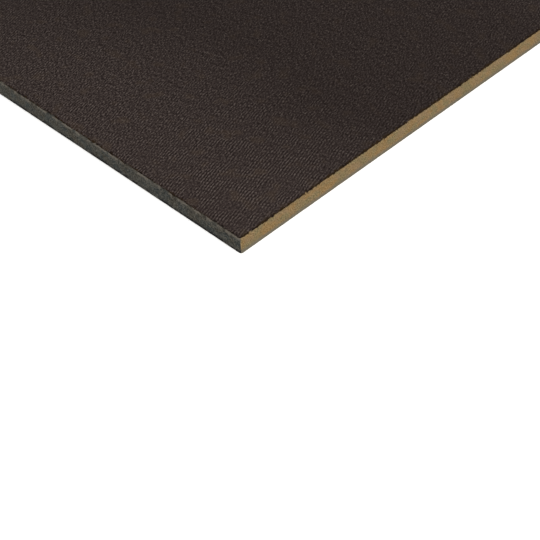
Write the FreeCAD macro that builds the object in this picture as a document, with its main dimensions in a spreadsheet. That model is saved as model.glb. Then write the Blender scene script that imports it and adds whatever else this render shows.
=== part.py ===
"""Perlite roof cover board: one flat, square-edged board of expanded perlite, fibre and binder.

The board is pressed and dried as one sheet and trimmed to size, so it is one solid. It lies flat: +Z is up,
out of the sealed face that takes the roof membrane, and the origin is the centre of the underside. X runs
across the board and Y along it. Lengths are millimetres.
"""
import FreeCAD, Part
import Sketcher
import os

SHEET_NAME = "Sizes"
DRIVING_SIZES = (
    # alias, value in mm, what it is
    ("board_width", 1219.2, "trimmed size along X, 4 ft"),
    ("board_length", 1219.2, "trimmed size along Y, 4 ft"),
    ("board_thickness", 12.7, "pressed thickness, 1/2 in"),
    ("corner_radius", 2.0, "upright corners, dulled by handling"),
    ("arris_radius", 0.5, "long edges of both faces, dulled by trimming"),
)


def fill_sheet(doc):
    """The spreadsheet that every size of the board is bound to."""
    sheet = doc.addObject("Spreadsheet::Sheet", SHEET_NAME)
    for row, (alias, value, meaning) in enumerate(DRIVING_SIZES, start=1):
        sheet.set(f"A{row}", alias)
        sheet.set(f"B{row}", str(value))
        sheet.set(f"C{row}", meaning)
        sheet.setAlias(f"B{row}", alias)
    doc.recompute()
    return sheet


def origin_plane(body, role):
    """One of the body's own origin planes."""
    return next(f for f in body.Origin.OriginFeatures if f.Role == role)


def draw_outline(body):
    """A rectangle centred on the origin, whose two dimensions are the trimmed sizes."""
    sketch = body.newObject("Sketcher::SketchObject", "BoardOutline")
    sketch.AttachmentSupport = [(origin_plane(body, "XY_Plane"), "")]
    sketch.MapMode = "FlatFace"

    start_half = 100.0
    corners = [
        FreeCAD.Vector(x * start_half, y * start_half, 0)
        for x, y in ((-1, -1), (1, -1), (1, 1), (-1, 1))
    ]
    sides = len(corners)
    for i in range(sides):
        sketch.addGeometry(Part.LineSegment(corners[i], corners[(i + 1) % sides]), False)

    start_point, end_point = 1, 2
    near, right, far, left = range(sides)
    for i in range(sides):
        sketch.addConstraint(Sketcher.Constraint("Coincident", i, end_point, (i + 1) % sides, start_point))
    for side in (near, far):
        sketch.addConstraint(Sketcher.Constraint("Horizontal", side))
    for side in (right, left):
        sketch.addConstraint(Sketcher.Constraint("Vertical", side))
    sketch_origin = (-1, 1)
    sketch.addConstraint(
        Sketcher.Constraint("Symmetric", near, start_point, far, start_point, *sketch_origin)
    )

    for side, name, alias in ((near, "width", "board_width"), (right, "length", "board_length")):
        index = sketch.addConstraint(Sketcher.Constraint("Distance", side, 2 * start_half))
        sketch.renameConstraint(index, name)
        sketch.setExpression(f"Constraints.{name}", f"{SHEET_NAME}.{alias}")
    return sketch


def pad_board(body, outline):
    """The outline raised to the board's thickness, underside on the XY plane."""
    pad = body.newObject("PartDesign::Pad", "PressedBoard")
    pad.Profile = outline
    pad.setExpression("Length", f"{SHEET_NAME}.board_thickness")
    return pad


def runs_upright(edge):
    """True for a straight edge along Z."""
    ends = [v.Point for v in edge.Vertexes]
    return len(ends) == 2 and abs(ends[0].z - ends[1].z) > 0.5 * edge.Length


def lies_on_a_face(edge, thickness):
    """True for an edge that lies wholly in the underside or in the top face."""
    box = edge.BoundBox
    return box.ZLength < 1e-6 and (abs(box.ZMin) < 1e-6 or abs(box.ZMax - thickness) < 1e-6)


def round_edges(body, base, name, alias, chosen):
    """A fillet, with its radius from the sheet, on the edges of base that chosen picks."""
    names = [f"Edge{i}" for i, edge in enumerate(base.Shape.Edges, start=1) if chosen(edge)]
    fillet = body.newObject("PartDesign::Fillet", name)
    fillet.Base = (base, names)
    fillet.setExpression("Radius", f"{SHEET_NAME}.{alias}")
    return fillet


def make_board(doc, sheet):
    """The whole board: outline, thickness, dulled corners and dulled arrises."""
    body = doc.addObject("PartDesign::Body", "CoverBoard")
    body.Label = "cover_board"
    pad = pad_board(body, draw_outline(body))
    doc.recompute()
    corners = round_edges(body, pad, "DulledCorners", "corner_radius", runs_upright)
    doc.recompute()
    thickness = float(sheet.board_thickness)
    arrises = round_edges(
        body, corners, "DulledArrises", "arris_radius", lambda edge: lies_on_a_face(edge, thickness)
    )
    body.Tip = arrises
    doc.recompute()
    return body


def check(doc, sub_parts):
    """Stops the build if a feature failed or a sub-part has no sound solid."""
    failed = [o.Name for o in doc.Objects if {"Invalid", "Error"} & set(o.State)]
    if failed:
        raise RuntimeError(f"these features failed: {failed}")
    for part in sub_parts:
        shape = part.Shape
        if shape.isNull() or not shape.isValid() or len(shape.Solids) != 1:
            raise RuntimeError(f"{part.Label} isn't one valid solid")


def export(sub_parts, folder="parts"):
    """Each sub-part as a STEP file that its Label names."""
    os.makedirs(folder, exist_ok=True)
    for part in sub_parts:
        part.Shape.exportStep(os.path.join(folder, part.Label + ".step"))
        box = part.Shape.optimalBoundingBox()
        print(f"{part.Label}: {box.XLength:.2f} x {box.YLength:.2f} x {box.ZLength:.2f} mm")


def main():
    doc = FreeCAD.newDocument("PerliteCoverBoard")
    sheet = fill_sheet(doc)
    sub_parts = [make_board(doc, sheet)]
    check(doc, sub_parts)
    export(sub_parts)


main()
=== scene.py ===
"""Perlite roof cover board: its finished surfaces, laid out as an add-on and run as a script.

The board is one pressed sheet of expanded perlite, fibre and binder. Its top face is sealed with a thin
bitumen emulsion and still carries the marks of the woven wire it was formed on. Two edges are sawn and show
the tan core, two are factory trimmed and have weathered grey, and the underside is bare pressed core.

The mesh is in metres, in the frame's own axes: the origin is the centre of the underside and +Z is up out of
the sealed face. The materials work in millimetres on the same axes.
"""

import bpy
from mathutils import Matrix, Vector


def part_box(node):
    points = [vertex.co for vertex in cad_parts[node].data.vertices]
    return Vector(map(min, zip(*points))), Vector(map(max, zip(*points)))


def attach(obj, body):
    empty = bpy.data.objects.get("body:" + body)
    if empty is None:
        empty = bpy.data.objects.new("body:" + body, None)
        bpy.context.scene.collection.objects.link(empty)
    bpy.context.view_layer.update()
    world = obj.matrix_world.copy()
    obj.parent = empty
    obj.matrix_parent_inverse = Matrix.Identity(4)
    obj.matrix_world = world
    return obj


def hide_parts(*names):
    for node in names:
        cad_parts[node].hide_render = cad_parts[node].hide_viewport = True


bl_info = {
    "name": "Perlite Cover Board",
    "version": (1, 0, 0),
    "blender": (4, 5, 0),
    "location": "View3D > Sidebar > Cover Board",
    "description": "Presses a perlite roof cover board and sets it on a pale studio floor",
    "category": "Add Mesh",
}

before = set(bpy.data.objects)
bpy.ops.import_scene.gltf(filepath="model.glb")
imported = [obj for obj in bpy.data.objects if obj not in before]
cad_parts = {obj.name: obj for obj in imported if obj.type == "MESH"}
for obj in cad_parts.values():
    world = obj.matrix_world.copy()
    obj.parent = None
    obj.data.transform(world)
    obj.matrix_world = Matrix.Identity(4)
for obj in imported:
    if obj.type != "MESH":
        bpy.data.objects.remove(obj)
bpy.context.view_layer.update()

import math

import bmesh
import bpy
from bpy.props import FloatProperty, FloatVectorProperty, IntProperty, PointerProperty
from mathutils import Matrix, Vector, noise

MM = 0.001
PER_MM = 1 / MM
CAD_NODE = "cover_board"
BOARD_NAME = "perlite_board"
BODY = "root"
BOARD_LOW, BOARD_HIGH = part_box(CAD_NODE)

# The board's four surfaces, in the order of its materials.
TOP, SAWN_EDGE, TRIMMED_EDGE, UNDERSIDE = range(4)

# Where a Mix node keeps its two colours and its result.
MIX_COLOUR_A, MIX_COLOUR_B, MIX_COLOUR_RESULT = 6, 7, 2

# The sizes of what wears the mesh: hollows in the face, beads and waves in an edge, and the fray, the slower
# swing and the chips of an arris.
HOLLOW_SIZE = 75 * MM
BEAD_SIZE = 2.6 * MM
WAVE_SIZE = 9 * MM
FRAY_SIZE = 2.2 * MM
SWING_SIZE = 8 * MM
CHIP_SIZE = 4.5 * MM
LOWER_FRAY_SIZE = 2.4 * MM


def linear(hex_colour):
    """An sRGB hex colour as linear red, green and blue."""
    channels = [int(hex_colour[i : i + 2], 16) / 255 for i in (1, 3, 5)]
    return tuple(c / 12.92 if c <= 0.04045 else ((c + 0.055) / 1.055) ** 2.4 for c in channels)


def length(name, description, default):
    """A property that is a real size in metres."""
    return FloatProperty(
        name=name,
        description=description,
        default=default,
        min=0,
        precision=5,
        subtype="DISTANCE",
        unit="LENGTH",
    )


def angle(name, description, degrees):
    """A property that is an angle, given in degrees."""
    return FloatProperty(
        name=name, description=description, default=math.radians(degrees), subtype="ANGLE", unit="ROTATION"
    )


def colour(name, description, default):
    """A property that is a colour, given as sRGB hex."""
    return FloatVectorProperty(
        name=name, description=description, default=linear(default), size=3, min=0, max=1, subtype="COLOR"
    )


class BoardSettings(bpy.types.PropertyGroup):
    """How the board's mesh is cut up and worn, and the colours of its surfaces."""

    cells: IntProperty(
        name="Cells",
        description="Cells along each side of the face before its rim is refined",
        default=64,
        min=4,
    )
    rim_halvings: IntProperty(
        name="Rim halvings", description="Times the cells next to the rim are halved", default=4, min=0, max=5
    )
    edge_rows: IntProperty(
        name="Edge rows", description="Cuts across the thickness of each edge", default=8, min=1
    )
    corner_radius: length("Corner radius", "Rounding of the four upright corners", 2.0 * MM)
    arris_radius: length("Arris radius", "Width of the dulled long edges", 0.25 * MM)
    wear_reach: length("Wear reach", "How far wear runs from an arris over the faces beside it", 2.2 * MM)
    sawn_ragged: length("Sawn raggedness", "Wear of the top arris of a sawn edge", 0.6 * MM)
    trimmed_ragged: length("Trimmed raggedness", "Wear of the top arris of a trimmed edge", 0.75 * MM)
    chip_depth: length("Chip depth", "Depth of the chips out of the top arris", 1.2 * MM)
    lower_ragged: length("Lower raggedness", "Wear of the lower arris", 0.02 * MM)
    edge_grain: length("Edge grain", "Depth of the pits that beads of perlite leave in an edge", 0.16 * MM)
    face_sag: length("Face sag", "Depth of the shallow hollows pressed into the top face", 0.25 * MM)

    coat: colour("Coat", "Sealed top face", "#302725")
    # Crests of the wire marks: worn paler, and also a painted highlight for the light their relief would
    # catch.
    coat_crest_and_highlight: colour("Coat crests", "Rubbed crests of the wire marks", "#655b56")
    coat_brown: colour("Thin coat", "Brownish patches where the emulsion is thin", "#473a2e")
    coat_bead: colour("Bead in the coat", "Pale perlite beads that show through the emulsion", "#786e65")
    # Pits between the wire marks: pooled emulsion, and also painted shade for the shade their relief would
    # hold. The same colour darkens the sheet away from the near corner as painted light falloff, and fills
    # the nicks.
    coat_pit_and_shade: colour("Coat pits", "Emulsion pooled between the wire marks", "#110806")
    soaked: colour("Soaked arris", "Emulsion soaked into the top arris", "#261906")
    sawn: colour("Sawn core", "Fresh core on a sawn edge", "#77644b")
    sawn_warm: colour("Sawn core, warm", "Ochre patches of a sawn edge", "#7d6440")
    sawn_cool: colour("Sawn core, cool", "Olive patches of a sawn edge", "#6a6146")
    sawn_pale: colour("Sawn core, pale", "Beads of perlite on a sawn edge", "#96805c")
    sawn_pit: colour("Sawn core, pits", "Open pores of a sawn edge", "#4e3c22")
    # Painted highlight: a pale line under the top arris of a sawn edge, where light catches it.
    sawn_rubbed: colour("Sawn core, rubbed", "Rubbed line under a sawn edge's top arris", "#76684f")
    # Painted shade: a darker, greyer line above the underside of a sawn edge, where shade falls at its foot.
    sawn_foot: colour("Sawn core, foot", "Dusty line above the underside on a sawn edge", "#635e51")
    trimmed: colour("Trimmed core", "Weathered core on a trimmed edge", "#403f3a")
    trimmed_warm: colour("Trimmed core, warm", "Less weathered patches of a trimmed edge", "#3d3931")
    trimmed_cool: colour("Trimmed core, cool", "Bluer patches of a trimmed edge", "#343837")
    trimmed_pale: colour("Trimmed core, pale", "Beads of perlite on a trimmed edge", "#5f5c54")
    trimmed_pit: colour("Trimmed core, pits", "Open pores of a trimmed edge", "#1a1a19")
    # Painted highlight: a pale line under the top arris of a trimmed edge, where light catches it.
    trimmed_rubbed: colour("Trimmed core, rubbed", "Rubbed line under a trimmed edge's top arris", "#706960")
    # Painted shade: a near-black broken line above the underside of a trimmed edge, for the shadow where the
    # board meets the floor.
    trimmed_foot: colour("Trimmed core, foot", "Dark line above the underside on a trimmed edge", "#121211")
    bare: colour("Bare core", "Pressed face with no coat", "#8a7c66")


class StageSettings(bpy.types.PropertyGroup):
    """The floor, the lights and the camera."""

    floor: colour("Floor", "Pale studio floor", "#e6e6e4")
    floor_radius: length("Floor radius", "Radius of the floor", 60.0)
    floor_clearance: length("Floor clearance", "How far the floor lies under the board", 0.1 * MM)
    floor_glow: FloatProperty(
        name="Floor glow", description="Strength of the light from under the opal floor", default=0.62, min=0
    )
    lens: FloatProperty(
        name="Lens",
        description="Focal length for a 36 mm wide sensor",
        default=93.3,
        min=1,
        subtype="DISTANCE_CAMERA",
    )
    camera_distance: length("Camera distance", "From the camera to the near corner, along the view", 0.839)
    corner_left: length("Corner left", "How far the near corner is left of the view's centre", 17.8 * MM)
    corner_above: length("Corner above", "How far the near corner is above the view's centre", 18.5 * MM)
    azimuth: angle("Azimuth", "Camera's turn about the board from -Y towards +X", 46.09)
    elevation: angle("Elevation", "Camera's angle above the floor", 43.88)
    roll: angle("Roll", "Camera's lean about its own view", 2.22)


def ramp(value, start, end):
    """0 below start, 1 above end, and smooth between them."""
    t = min(max((value - start) / (end - start), 0.0), 1.0)
    return t * t * (3 - 2 * t)


# ---- The board's mesh ----


def press_sheet(mesh, settings):
    """A closed sheet on the underside's plane, its faces in cells that get finer towards the rim."""
    width, board_length, thickness = BOARD_HIGH - BOARD_LOW
    bmesh.ops.create_grid(
        mesh,
        x_segments=settings.cells,
        y_segments=settings.cells,
        size=0.5,
        matrix=Matrix.Translation((0, 0, thickness)) @ Matrix.Diagonal((width, board_length, 1, 1)),
    )
    for _ in range(settings.rim_halvings):
        rim_faces = {face for edge in mesh.edges if edge.is_boundary for face in edge.link_faces}
        rim_edges = {edge for face in rim_faces for edge in face.edges}
        bmesh.ops.subdivide_edges(mesh, edges=list(rim_edges), cuts=1, use_grid_fill=True)

    grown = bmesh.ops.extrude_face_region(mesh, geom=mesh.faces[:], use_keep_orig=True)["geom"]
    lower = [item for item in grown if isinstance(item, bmesh.types.BMVert)]
    bmesh.ops.translate(mesh, verts=lower, vec=(0, 0, -thickness))
    upright = [edge for edge in mesh.edges if abs(edge.verts[0].co.z - edge.verts[1].co.z) > thickness / 2]
    bmesh.ops.subdivide_edges(mesh, edges=upright, cuts=settings.edge_rows, use_grid_fill=True)
    bmesh.ops.recalc_face_normals(mesh, faces=mesh.faces)


def crowd_rows(mesh, thickness):
    """Moves the rows of the edges up, so that they are closest where the top arris chips."""
    crowding = 1.4
    for vert in mesh.verts:
        below = thickness - vert.co.z
        vert.co.z = thickness - thickness * (below / thickness) ** crowding


def dull_arrises(mesh, settings):
    """Bevels the long edges all round the top face and the underside."""
    sharp = math.radians(80)
    long_edges = [edge for edge in mesh.edges if edge.calc_face_angle() > sharp and not is_upright(edge)]
    bmesh.ops.bevel(
        mesh,
        geom=long_edges,
        offset=settings.arris_radius,
        offset_type="OFFSET",
        affect="EDGES",
        segments=2,
        profile=0.5,
        material=-1,
    )


def is_upright(edge):
    """True for an edge that runs through the thickness."""
    run = edge.verts[0].co - edge.verts[1].co
    return abs(run.z) > 0.9 * run.length


def round_corners(mesh, half, radius):
    """Rounds the four upright corners, by drawing each corner's square of cells in to a quarter disc."""
    for vert in mesh.verts:
        beyond = Vector((abs(vert.co.x) - half.x + radius, abs(vert.co.y) - half.y + radius))
        if min(beyond) > 0:
            beyond *= max(beyond) / beyond.length
            vert.co.x = math.copysign(half.x - radius + beyond.x, vert.co.x)
            vert.co.y = math.copysign(half.y - radius + beyond.y, vert.co.y)


def wear_depth(point, half, thickness, settings):
    """How far the surface is worn in at a point: hollows, grain, ragged arrises and chips."""
    from_sides = half.x - abs(point.x), half.y - abs(point.y)
    inward, below, above = min(from_sides), thickness - point.z, point.z
    sawn = from_sides[0] < from_sides[1]
    near_top = max(0.0, 1 - max(inward, below) / settings.wear_reach)
    near_low = max(0.0, 1 - max(inward, above) / settings.wear_reach)
    on_edge = inward < settings.arris_radius and near_top < 1

    depth = 0.0
    if inward > settings.wear_reach:
        swell = 0.5 + 0.5 * noise.noise(point / HOLLOW_SIZE)
        depth += settings.face_sag * swell * ramp(inward, 0, 20 * MM)
    if on_edge:
        beads = 0.5 + 0.5 * noise.noise(point / BEAD_SIZE)
        waves = 0.5 + 0.5 * noise.noise(point / WAVE_SIZE)
        depth += settings.edge_grain * (0.7 * beads + 0.3 * waves)
    if near_top > 0:
        ragged = settings.sawn_ragged if sawn else settings.trimmed_ragged
        fray = 0.5 + 0.5 * noise.noise(point / FRAY_SIZE + Vector((7, 0, 0)))
        swing = 0.5 + 0.5 * noise.noise(point / SWING_SIZE + Vector((0, 11, 0)))
        chip = ramp(noise.noise(point / CHIP_SIZE + Vector((3, 5, 0))), 0.28, 0.55)
        depth += near_top * (ragged * (0.6 * fray + 0.8 * swing) + settings.chip_depth * chip)
    if near_low > 0:
        fray = 0.5 + 0.5 * noise.noise(point / LOWER_FRAY_SIZE + Vector((0, 0, 9)))
        depth += near_low * settings.lower_ragged * fray
    return depth


def wear_surface(mesh, half, thickness, settings):
    """Wears every point of the surface in along its own normal, so nothing leaves the board's box."""
    mesh.normal_update()
    depths = [wear_depth(vert.co, half, thickness, settings) for vert in mesh.verts]
    normals = [vert.normal.copy() for vert in mesh.verts]
    for vert, depth, normal in zip(mesh.verts, depths, normals):
        vert.co -= normal * depth


def name_faces(mesh, half, thickness):
    """Gives every face the index of its surface: coated top, sawn edge, trimmed edge or bare underside."""
    skin = 0.02 * MM
    for face in mesh.faces:
        middle = face.calc_center_median()
        face.smooth = True
        if middle.z > thickness - skin:
            face.material_index = TOP
        elif middle.z < skin:
            face.material_index = UNDERSIDE
        elif half.x - abs(middle.x) < half.y - abs(middle.y):
            face.material_index = SAWN_EDGE
        else:
            face.material_index = TRIMMED_EDGE


def press_board(settings):
    """The board's object, worn and with its faces named, but not yet coloured."""
    thickness = (BOARD_HIGH - BOARD_LOW).z
    half = (BOARD_HIGH - BOARD_LOW).xy / 2
    mesh = bmesh.new()
    press_sheet(mesh, settings)
    crowd_rows(mesh, thickness)
    mesh.normal_update()
    dull_arrises(mesh, settings)
    name_faces(mesh, half, thickness)
    round_corners(mesh, half, settings.corner_radius)
    wear_surface(mesh, half, thickness, settings)
    data = bpy.data.meshes.new(BOARD_NAME)
    mesh.to_mesh(data)
    mesh.free()
    board = bpy.data.objects.new(BOARD_NAME, data)
    bpy.context.scene.collection.objects.link(board)
    return board


# ---- Materials. Sizes in this part are in millimetres. ----


def add_node(tree, kind, settings, links=()):
    """Adds one node. A setting is one of its properties, or the value of the socket so named or numbered."""
    node = tree.nodes.new(kind)
    properties = node.bl_rna.properties
    for key, value in settings.items():
        if isinstance(key, str) and key in properties:
            setattr(node, key, value)
        else:
            node.inputs[key].default_value = value
    for key, source in dict(links).items():
        tree.links.new(source, node.inputs[key])
    return node


def start_material(name):
    """An empty material with its output, and the board's own coordinates in millimetres."""
    material = bpy.data.materials.new(name)
    material.use_nodes = True
    tree = material.node_tree
    tree.nodes.clear()
    place = add_node(tree, "ShaderNodeTexCoord", {})
    in_mm = add_node(
        tree, "ShaderNodeMapping", {"Scale": (PER_MM, PER_MM, PER_MM)}, {"Vector": place.outputs["Object"]}
    )
    return material, tree, in_mm.outputs["Vector"]


def close_material(tree, base, height, roughness, specular):
    """The shader, with its colour and its height in millimetres."""
    bump = add_node(tree, "ShaderNodeBump", {"Strength": 1.0, "Distance": MM}, {"Height": height})
    shader = add_node(
        tree,
        "ShaderNodeBsdfPrincipled",
        {"Roughness": roughness, "Specular IOR Level": specular, "IOR": 1.5},
        {"Base Color": base, "Normal": bump.outputs["Normal"]},
    )
    add_node(tree, "ShaderNodeOutputMaterial", {}, {"Surface": shader.outputs["BSDF"]})


def mottle(tree, place, size, detail=2.0, roughness=0.5, offset=(0, 0, 0)):
    """Noise whose patches are about size mm across, from 0 to 1."""
    moved = add_node(tree, "ShaderNodeVectorMath", {"operation": "ADD", 1: offset}, {0: place})
    return add_node(
        tree,
        "ShaderNodeTexNoise",
        {"Scale": 1 / size, "Detail": detail, "Roughness": roughness},
        {"Vector": moved.outputs["Vector"]},
    ).outputs["Fac"]


def drawn_out(tree, place, repeats, along, across):
    """The place turned and squeezed, so that a pattern on it is along by across mm and follows some wires."""
    turn = -math.atan2(repeats[1], repeats[0])
    turned = add_node(
        tree, "ShaderNodeVectorRotate", {"rotation_type": "Z_AXIS", "Angle": turn}, {"Vector": place}
    )
    return add_node(
        tree,
        "ShaderNodeVectorMath",
        {"operation": "MULTIPLY", 1: (1 / across, 1 / along, 1 / across)},
        {0: turned.outputs["Vector"]},
    ).outputs["Vector"]


def remap(tree, value, start, end, low=0.0, high=1.0):
    """Turns the range from start to end into low to high, and holds it there."""
    return add_node(
        tree,
        "ShaderNodeMapRange",
        {"clamp": True, "From Min": start, "From Max": end, "To Min": low, "To Max": high},
        {"Value": value},
    ).outputs["Result"]


def maths(tree, operation, *values):
    """One sum on numbers or sockets."""
    numbers = {i: v for i, v in enumerate(values) if isinstance(v, (int, float))}
    sockets = {i: v for i, v in enumerate(values) if i not in numbers}
    return add_node(tree, "ShaderNodeMath", {"operation": operation, **numbers}, sockets).outputs[0]


def blend(tree, amount, first, second):
    """Mixes two colours, each a socket or a linear colour."""
    settings, links = {"data_type": "RGBA"}, {0: amount}
    for key, value in ((MIX_COLOUR_A, first), (MIX_COLOUR_B, second)):
        if isinstance(value, bpy.types.NodeSocket):
            links[key] = value
        else:
            settings[key] = (*value, 1.0)
    return add_node(tree, "ShaderNodeMix", settings, links).outputs[MIX_COLOUR_RESULT]


# The wire cloth's marks repeat along these directions, in repeats per mm of X and Y: its coarse ribs, its
# cross wires, and the knuckles where the two meet. The ribs lay about 17 degrees off the board's edges.
WIRE_RIBS = (0.482, 0.146)
WIRE_CROSS = (-0.165, 0.271)
WIRE_KNUCKLES = (WIRE_RIBS[0] + WIRE_CROSS[0], WIRE_RIBS[1] + WIRE_CROSS[1])
WIRE_MARKS = (
    # direction, strength, lag as a part of a turn
    (WIRE_RIBS, 1.0, 0.0),
    (WIRE_CROSS, 0.29, 0.0),
    (WIRE_KNUCKLES, 0.22, 0.17),
)
MARK_PATCH_SIZE = 9
MARK_HEIGHT = 0.08

# The grit left between the marks, as strokes along the ribs and ticks along the cross wires. It is drawn
# coarse, because finer grit wouldn't show.
STROKE_LENGTH, TICK_LENGTH, GRIT_WIDTH = 2.4, 1.2, 0.7
GRIT_HEIGHT = 0.10

# How marks and bands wander: over what distance, and how far to each side.
MARK_WANDER_SIZE, MARK_WANDER = 9, 1.2
BAND_WANDER_SIZE, BAND_WANDER = 160, 60

# Broad bands over the sheet, highest at one corner, the near corner: repeats per mm of X, Y and Z, and each
# one's share.
# The coat's bands are painted light falloff, brightest at the near corner and darker away from it. The wire's
# bands set how deeply the marks are pressed.
PAINTED_FALLOFF_BANDS = (((0, 1 / 460, 0), 0.38), ((1 / 800, 0, 0), 0.12))
WIRE_BANDS = (((0, 1 / 500, 0), 0.25), ((1 / 420, 0, 0), 0.25))


def broad_bands(tree, place, bands):
    """From 0 to 1 in crossing bands that wander, highest at the near corner. On the coat they are painted
    light falloff, and on the wire marks they are where a press or a roller bore harder here and there.
    """
    wander = add_node(
        tree, "ShaderNodeTexNoise", {"Scale": 1 / BAND_WANDER_SIZE, "Detail": 2.0}, {"Vector": place}
    ).outputs["Color"]
    swing = (2 * BAND_WANDER, 2 * BAND_WANDER, 0)
    start = (-BOARD_HIGH.x * PER_MM - BAND_WANDER, -BOARD_LOW.y * PER_MM - BAND_WANDER, 0)
    moved = add_node(
        tree, "ShaderNodeVectorMath", {"operation": "MULTIPLY_ADD", 1: swing, 2: start}, {0: wander}
    ).outputs["Vector"]
    from_corner = add_node(
        tree, "ShaderNodeVectorMath", {"operation": "ADD"}, {0: place, 1: moved}
    ).outputs["Vector"]
    total = 0.5
    for repeats, share in bands:
        turn = add_node(
            tree,
            "ShaderNodeVectorMath",
            {"operation": "DOT_PRODUCT", 1: tuple(math.tau * repeat for repeat in repeats)},
            {0: from_corner},
        ).outputs["Value"]
        total = maths(tree, "MULTIPLY_ADD", maths(tree, "COSINE", turn), share, total)
    return total


def wire_marks(tree, place, pressure):
    """The forming wire's marks, about -1.5 to 1.5, fading in and out as the wet stock took them."""
    drift = add_node(
        tree, "ShaderNodeTexNoise", {"Scale": 1 / MARK_WANDER_SIZE, "Detail": 2.0}, {"Vector": place}
    ).outputs["Color"]
    swing = (2 * MARK_WANDER, 2 * MARK_WANDER, 0)
    start = (-MARK_WANDER, -MARK_WANDER, 0)
    centred = add_node(
        tree, "ShaderNodeVectorMath", {"operation": "MULTIPLY_ADD", 1: swing, 2: start}, {0: drift}
    )
    wandering = add_node(
        tree, "ShaderNodeVectorMath", {"operation": "ADD"}, {0: place, 1: centred.outputs["Vector"]}
    ).outputs["Vector"]
    total = 0.0
    for (x, y), strength, lag in WIRE_MARKS:
        turn = add_node(
            tree,
            "ShaderNodeVectorMath",
            {"operation": "DOT_PRODUCT", 1: (x * math.tau, y * math.tau, 0)},
            {0: wandering},
        ).outputs["Value"]
        wave = maths(tree, "COSINE", maths(tree, "ADD", turn, lag * math.tau))
        total = maths(tree, "MULTIPLY_ADD", wave, strength, total)
    patches = remap(tree, mottle(tree, place, MARK_PATCH_SIZE, 2.0, 0.6), 0.38, 0.60, 0.2, 1.0)
    return maths(tree, "MULTIPLY", total, maths(tree, "MULTIPLY", patches, pressure))


# The soaked-in rim of the top face: how wide it is beside the two edges across each axis, the size of its
# raggedness and how far that swings. Nicks are the short lengths of it where more coat pooled.
RIM_WIDTH = {"X": 2.2, "Y": 1.3}
RIM_RAGGED_SIZE, RIM_RAGGED = 1.5, 0.9
NICK_SIZE, NICK_WIDTH = 4.5, 1.8


def near_edge(tree, place, axis, width):
    """1 along the rim of the two edges across an axis, fading raggedly over a width in mm, and 0 inside."""
    along = add_node(tree, "ShaderNodeSeparateXYZ", {}, {"Vector": place}).outputs[axis]
    reach = getattr(BOARD_HIGH, axis.lower()) * PER_MM
    inward = maths(tree, "SUBTRACT", reach, maths(tree, "ABSOLUTE", along))
    ragged = remap(tree, mottle(tree, place, RIM_RAGGED_SIZE, 1.0), 0.3, 0.7, -RIM_RAGGED, RIM_RAGGED)
    return remap(tree, maths(tree, "ADD", inward, ragged), width, 0.4 * width)


def nicked(tree, place, axis, width):
    """The same rim, but only in short lengths, where the arris was nicked and the coat pooled."""
    nicks = remap(tree, mottle(tree, place, NICK_SIZE, 1.0, 0.5, (0, 0, 35)), 0.52, 0.60)
    return maths(tree, "MULTIPLY", near_edge(tree, place, axis, width), nicks)


def sealed_face(settings):
    """Bitumen emulsion rolled on pressed perlite: black-brown and dull, wire-marked, with pale specks."""
    material, tree, place = start_material("Bitumen emulsion, rolled on wire-marked perlite")
    # Painted light falloff: bands that leave the coat brightest at the near corner.
    coated = broad_bands(tree, place, PAINTED_FALLOFF_BANDS)
    pressed = broad_bands(tree, place, WIRE_BANDS)
    marks = wire_marks(tree, place, remap(tree, pressed, 0.35, 0.95, 0.25, 1.0))
    along_ribs = drawn_out(tree, place, WIRE_RIBS, STROKE_LENGTH, GRIT_WIDTH)
    along_cross = drawn_out(tree, place, WIRE_CROSS, TICK_LENGTH, GRIT_WIDTH)
    strokes = mottle(tree, along_ribs, 1.0, 0.0, 0.5, (40, 0, 0))
    ticks = mottle(tree, along_cross, 1.0, 0.0, 0.5, (0, 50, 0))
    grit = maths(tree, "SUBTRACT", maths(tree, "ADD", strokes, ticks), 1.0)
    height = maths(tree, "MULTIPLY_ADD", marks, MARK_HEIGHT, maths(tree, "MULTIPLY", grit, GRIT_HEIGHT))

    grit_shown = maths(tree, "MULTIPLY", grit, remap(tree, pressed, 0.4, 1.0, 4.0, 2.0))
    level = maths(tree, "MULTIPLY_ADD", marks, 0.88, grit_shown)
    # Crests painted paler and pits darker: partly worn crests and pooled emulsion, partly painted highlight
    # and painted shade of the marks' relief.
    crest = remap(tree, level, 0.0, 2.1)
    pit = remap(tree, level, 0.0, -1.3)
    base = blend(tree, pit, blend(tree, crest, settings.coat, settings.coat_crest_and_highlight), settings.coat_pit_and_shade)
    browned = remap(tree, mottle(tree, place, 12, 1.0, 0.5, (0, 0, 70)), 0.58, 0.70, 0.0, 0.28)
    base = blend(tree, browned, base, settings.coat_brown)
    # Painted light falloff: the coat darkened away from the near corner.
    base = blend(tree, remap(tree, coated, 0.95, 0.42, 0.0, 0.48), base, settings.coat_pit_and_shade)
    pale_beads = remap(tree, mottle(tree, place, 1.8, 0.0, 0.5, (0, 0, 20)), 0.77, 0.83, 0.0, 0.3)
    base = blend(tree, pale_beads, base, settings.coat_bead)
    for axis, width in RIM_WIDTH.items():
        base = blend(tree, near_edge(tree, place, axis, width), base, settings.soaked)
    for axis in RIM_WIDTH:
        base = blend(tree, nicked(tree, place, axis, NICK_WIDTH), base, settings.coat_pit_and_shade)
    close_material(tree, base, height, roughness=0.85, specular=0.10)
    return material


# The lines that run along an edge, each with its strength from 0 to 1 and its width, and how broken they are
# from 0 to 1. The painted highlight, a pale line where light catches the top arris, and the line of soaked-in
# coat are under the top arris. The lower shade is a dark line of painted shade above the underside, where the
# edge meets the floor.
SAWN_LOOK = {"rubbed": (0.4, 2.2), "soaked": (1.0, 0.8), "foot": (1.0, 3.6), "broken": 0.1}
TRIMMED_LOOK = {"rubbed": (0.75, 2.8), "soaked": (1.0, 0.7), "foot": (1.0, 2.8), "broken": 0.85}

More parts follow.
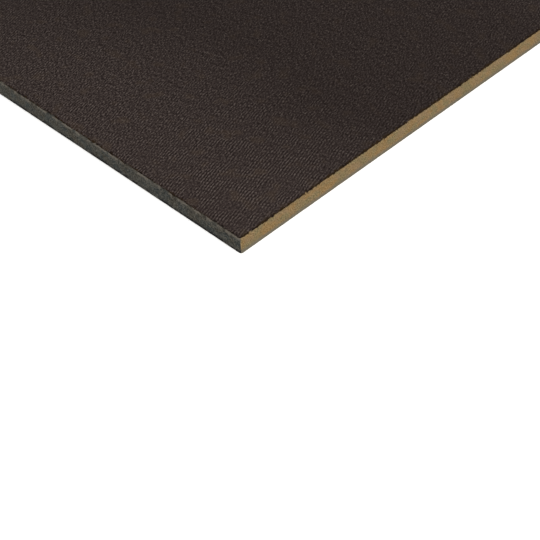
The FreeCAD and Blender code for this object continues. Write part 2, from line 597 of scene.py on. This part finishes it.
# Patches of colour and grains of a cut edge, how much flatter than long the patches are, the raggedness of
# its lines and the length of their dashes.
WARM_PATCH, COOL_PATCH, CORE_GRAIN = 11, 9, 0.8
FLATNESS = 1.4
LINE_RAGGED_SIZE, LINE_RAGGED = 1.6, 0.65
DASH_LENGTH = 5
CORE_GRAIN_HEIGHT = 0.3


def core_edge(name, settings, surface, look):
    """Cut perlite core: open and crumbly, with pale beads, dark pores, a dark line of soaked-in coat, a
    painted highlight under the top arris and a line of painted shade above the underside.
    """
    material, tree, place = start_material(name)
    endings = "", "_warm", "_cool", "_pale", "_pit", "_rubbed", "_foot"
    plain, warm, cool, pale, pit, rubbed, foot = (getattr(settings, surface + ending) for ending in endings)
    layered = add_node(
        tree, "ShaderNodeVectorMath", {"operation": "MULTIPLY", 1: (1, 1, FLATNESS)}, {0: place}
    ).outputs["Vector"]
    warmed = mottle(tree, layered, WARM_PATCH, 2.0, 0.5)
    cooled = mottle(tree, layered, COOL_PATCH, 2.0, 0.5, (90, 0, 0))
    base = blend(tree, remap(tree, warmed, 0.44, 0.58), plain, warm)
    base = blend(tree, remap(tree, cooled, 0.48, 0.62), base, cool)
    grain = mottle(tree, place, CORE_GRAIN, 2.0, 0.6, (0, 30, 0))
    base = blend(tree, remap(tree, grain, 0.50, 0.70), base, pale)
    base = blend(tree, remap(tree, grain, 0.50, 0.30), base, pit)

    above = add_node(tree, "ShaderNodeSeparateXYZ", {}, {"Vector": place}).outputs["Z"]
    below = maths(tree, "SUBTRACT", (BOARD_HIGH - BOARD_LOW).z * PER_MM, above)
    ragged = remap(tree, mottle(tree, place, LINE_RAGGED_SIZE, 1.0), 0.3, 0.7, -LINE_RAGGED, LINE_RAGGED)
    broken = mottle(tree, place, DASH_LENGTH, 1.0, 0.5, (0, 0, 60))
    dashes = remap(tree, broken, 0.44, 0.52, 1 - look["broken"], 1.0)
    # The painted highlight under the top arris and the painted shade above the underside are drawn here, with
    # the line of soaked-in coat.
    for line, distance, full, line_colour in (
        ("rubbed", below, 0.5, rubbed),
        ("soaked", below, 0.4, settings.soaked),
        ("foot", above, 0.5, foot),
    ):
        strength, width = look[line]
        mask = remap(tree, maths(tree, "ADD", distance, ragged), width, full * width, 0.0, strength)
        base = blend(tree, maths(tree, "MULTIPLY", mask, dashes), base, line_colour)
    height = maths(tree, "MULTIPLY", grain, CORE_GRAIN_HEIGHT)
    close_material(tree, base, height, roughness=0.9, specular=0.1)
    return material


# Grains and clouds of colour of the uncoated face.
BARE_GRAIN, BARE_CLOUD = 1.6, 40
BARE_GRAIN_HEIGHT = 0.25


def bare_face(settings):
    """Pressed perlite with no coat: matt tan-grey, with paler beads and fine pores."""
    material, tree, place = start_material("Perlite board, pressed and uncoated")
    grain = mottle(tree, place, BARE_GRAIN, 3.0, 0.6)
    cloud = mottle(tree, place, BARE_CLOUD, 3.0, 0.5)
    base = blend(tree, remap(tree, cloud, 0.35, 0.65, 0.0, 0.5), settings.bare, settings.sawn)
    base = blend(tree, remap(tree, grain, 0.55, 0.8), base, settings.sawn_pale)
    base = blend(tree, remap(tree, grain, 0.42, 0.25), base, settings.sawn_pit)
    height = maths(tree, "MULTIPLY", grain, BARE_GRAIN_HEIGHT)
    close_material(tree, base, height, roughness=0.9, specular=0.2)
    return material


# ---- The stage ----

# Each soft box: its offset from the near corner in metres, its side in metres, its watts and its tint.
SOFTBOXES = {
    "key_softbox": ((0.95, 0.05, 0.80), 0.5, 7.5, (1.0, 0.96, 0.90)),
    "overhead_softbox": ((-0.4, 0.5, 2.2), 1.5, 22.0, (1.0, 1.0, 1.0)),
}
HORIZON_LIGHT, OVERHEAD_LIGHT = 1.0, 0.42


def lay_floor(settings):
    """A wide pale floor just under the board, faintly lit from below as an opal light table is."""
    mesh = bmesh.new()
    bmesh.ops.create_circle(mesh, cap_ends=True, radius=settings.floor_radius, segments=96)
    bmesh.ops.translate(mesh, verts=mesh.verts, vec=(0, 0, BOARD_LOW.z - settings.floor_clearance))
    data = bpy.data.meshes.new("studio_floor")
    mesh.to_mesh(data)
    mesh.free()
    floor = bpy.data.objects.new("studio_floor", data)
    bpy.context.scene.collection.objects.link(floor)

    material = bpy.data.materials.new("Opal acrylic, satin")
    material.use_nodes = True
    tree = material.node_tree
    tree.nodes.clear()
    shader = add_node(
        tree,
        "ShaderNodeBsdfPrincipled",
        {
            "Base Color": (*settings.floor, 1.0),
            "Roughness": 0.9,
            "Specular IOR Level": 0.1,
            "Emission Color": (1, 1, 1, 1),
            "Emission Strength": settings.floor_glow,
        },
    )
    add_node(tree, "ShaderNodeOutputMaterial", {}, {"Surface": shader.outputs["BSDF"]})
    data.materials.append(material)


def near_corner():
    """The top of the corner between the sawn right edge and the trimmed front edge."""
    return Vector((BOARD_HIGH.x, BOARD_LOW.y, BOARD_HIGH.z))


def hang_light(name, offset, size, watts, tint):
    """A square soft box, at an offset from the near corner and facing it."""
    data = bpy.data.lights.new(name, "AREA")
    data.shape, data.size, data.energy, data.color = "SQUARE", size, watts, tint
    light = bpy.data.objects.new(name, data)
    light.location = near_corner() + Vector(offset)
    light.rotation_euler = (-Vector(offset)).to_track_quat("-Z", "Y").to_euler()
    bpy.context.scene.collection.objects.link(light)


def light_world():
    """An even pale surround, brightest along the horizon."""
    world = bpy.data.worlds.new("studio_surround")
    bpy.context.scene.world = world
    world.use_nodes = True
    tree = world.node_tree
    tree.nodes.clear()
    place = add_node(tree, "ShaderNodeTexCoord", {})
    up = add_node(tree, "ShaderNodeSeparateXYZ", {}, {"Vector": place.outputs["Generated"]}).outputs["Z"]
    brightness = remap(tree, up, 0.10, 0.35, HORIZON_LIGHT, OVERHEAD_LIGHT)
    background = add_node(
        tree, "ShaderNodeBackground", {"Color": (1.0, 0.995, 0.985, 1.0)}, {"Strength": brightness}
    )
    add_node(tree, "ShaderNodeOutputWorld", {}, {"Surface": background.outputs["Background"]})


def aim_camera(settings):
    """The camera over the near corner, which it sees a little left of and above the centre."""
    azimuth, elevation, roll = settings.azimuth, settings.elevation, settings.roll
    right = Vector((math.cos(azimuth), math.sin(azimuth), 0))
    forward = Vector((-math.sin(azimuth), math.cos(azimuth), 0))
    view = (forward * math.cos(elevation) - Vector((0, 0, math.sin(elevation)))).normalized()
    up = right.cross(view)
    leaning_right = right * math.cos(roll) - up * math.sin(roll)
    leaning_up = right * math.sin(roll) + up * math.cos(roll)
    target = near_corner() + leaning_right * settings.corner_left - leaning_up * settings.corner_above

    data = bpy.data.cameras.new("studio_camera")
    data.sensor_width = 36.0
    data.lens = settings.lens
    data.clip_start, data.clip_end = 0.01, 4 * settings.floor_radius
    camera = bpy.data.objects.new("studio_camera", data)
    turned = Matrix((leaning_right, leaning_up, -view)).transposed().to_4x4()
    camera.matrix_world = Matrix.Translation(target - view * settings.camera_distance) @ turned
    bpy.context.scene.collection.objects.link(camera)
    bpy.context.scene.camera = camera


# ---- Operators, panel and registration ----


class COVERBOARD_OT_press_board(bpy.types.Operator):
    """Press the perlite board, wear its edges and finish its four kinds of surface"""

    bl_idname = "cover_board.press_board"
    bl_label = "Press Board"
    bl_options = {"REGISTER", "UNDO"}

    def execute(self, context):
        settings = context.scene.cover_board
        board = press_board(settings)
        for material in (
            sealed_face(settings),
            core_edge("Perlite core, freshly sawn", settings, "sawn", SAWN_LOOK),
            core_edge("Perlite core, trimmed and weathered", settings, "trimmed", TRIMMED_LOOK),
            bare_face(settings),
        ):
            board.data.materials.append(material)
        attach(board, BODY)
        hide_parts(CAD_NODE)
        return {"FINISHED"}


class COVERBOARD_OT_set_stage(bpy.types.Operator):
    """Lay the pale floor, hang the soft boxes and stand the camera over the near corner"""

    bl_idname = "cover_board.set_stage"
    bl_label = "Set Stage"
    bl_options = {"REGISTER", "UNDO"}

    def execute(self, context):
        settings = context.scene.cover_board_stage
        lay_floor(settings)
        light_world()
        for name, (offset, size, watts, tint) in SOFTBOXES.items():
            hang_light(name, offset, size, watts, tint)
        aim_camera(settings)
        context.scene.view_settings.view_transform = "Standard"
        return {"FINISHED"}


class COVERBOARD_PT_sidebar(bpy.types.Panel):
    """The board's settings and its two steps"""

    bl_label = "Cover Board"
    bl_idname = "COVERBOARD_PT_sidebar"
    bl_space_type = "VIEW_3D"
    bl_region_type = "UI"
    bl_category = "Cover Board"

    def draw(self, context):
        layout = self.layout
        for group, operator in (
            ("cover_board", COVERBOARD_OT_press_board.bl_idname),
            ("cover_board_stage", COVERBOARD_OT_set_stage.bl_idname),
        ):
            settings = getattr(context.scene, group)
            column = layout.column()
            for name in settings.__annotations__:
                column.prop(settings, name)
            column.operator(operator)


CLASSES = (
    BoardSettings,
    StageSettings,
    COVERBOARD_OT_press_board,
    COVERBOARD_OT_set_stage,
    COVERBOARD_PT_sidebar,
)


def register():
    for cls in CLASSES:
        bpy.utils.register_class(cls)
    bpy.types.Scene.cover_board = PointerProperty(type=BoardSettings)
    bpy.types.Scene.cover_board_stage = PointerProperty(type=StageSettings)


def unregister():
    del bpy.types.Scene.cover_board_stage
    del bpy.types.Scene.cover_board
    for cls in reversed(CLASSES):
        bpy.utils.unregister_class(cls)


def main():
    register()
    bpy.ops.cover_board.press_board()
    bpy.ops.cover_board.set_stage()


if __name__ == "__main__":
    main()
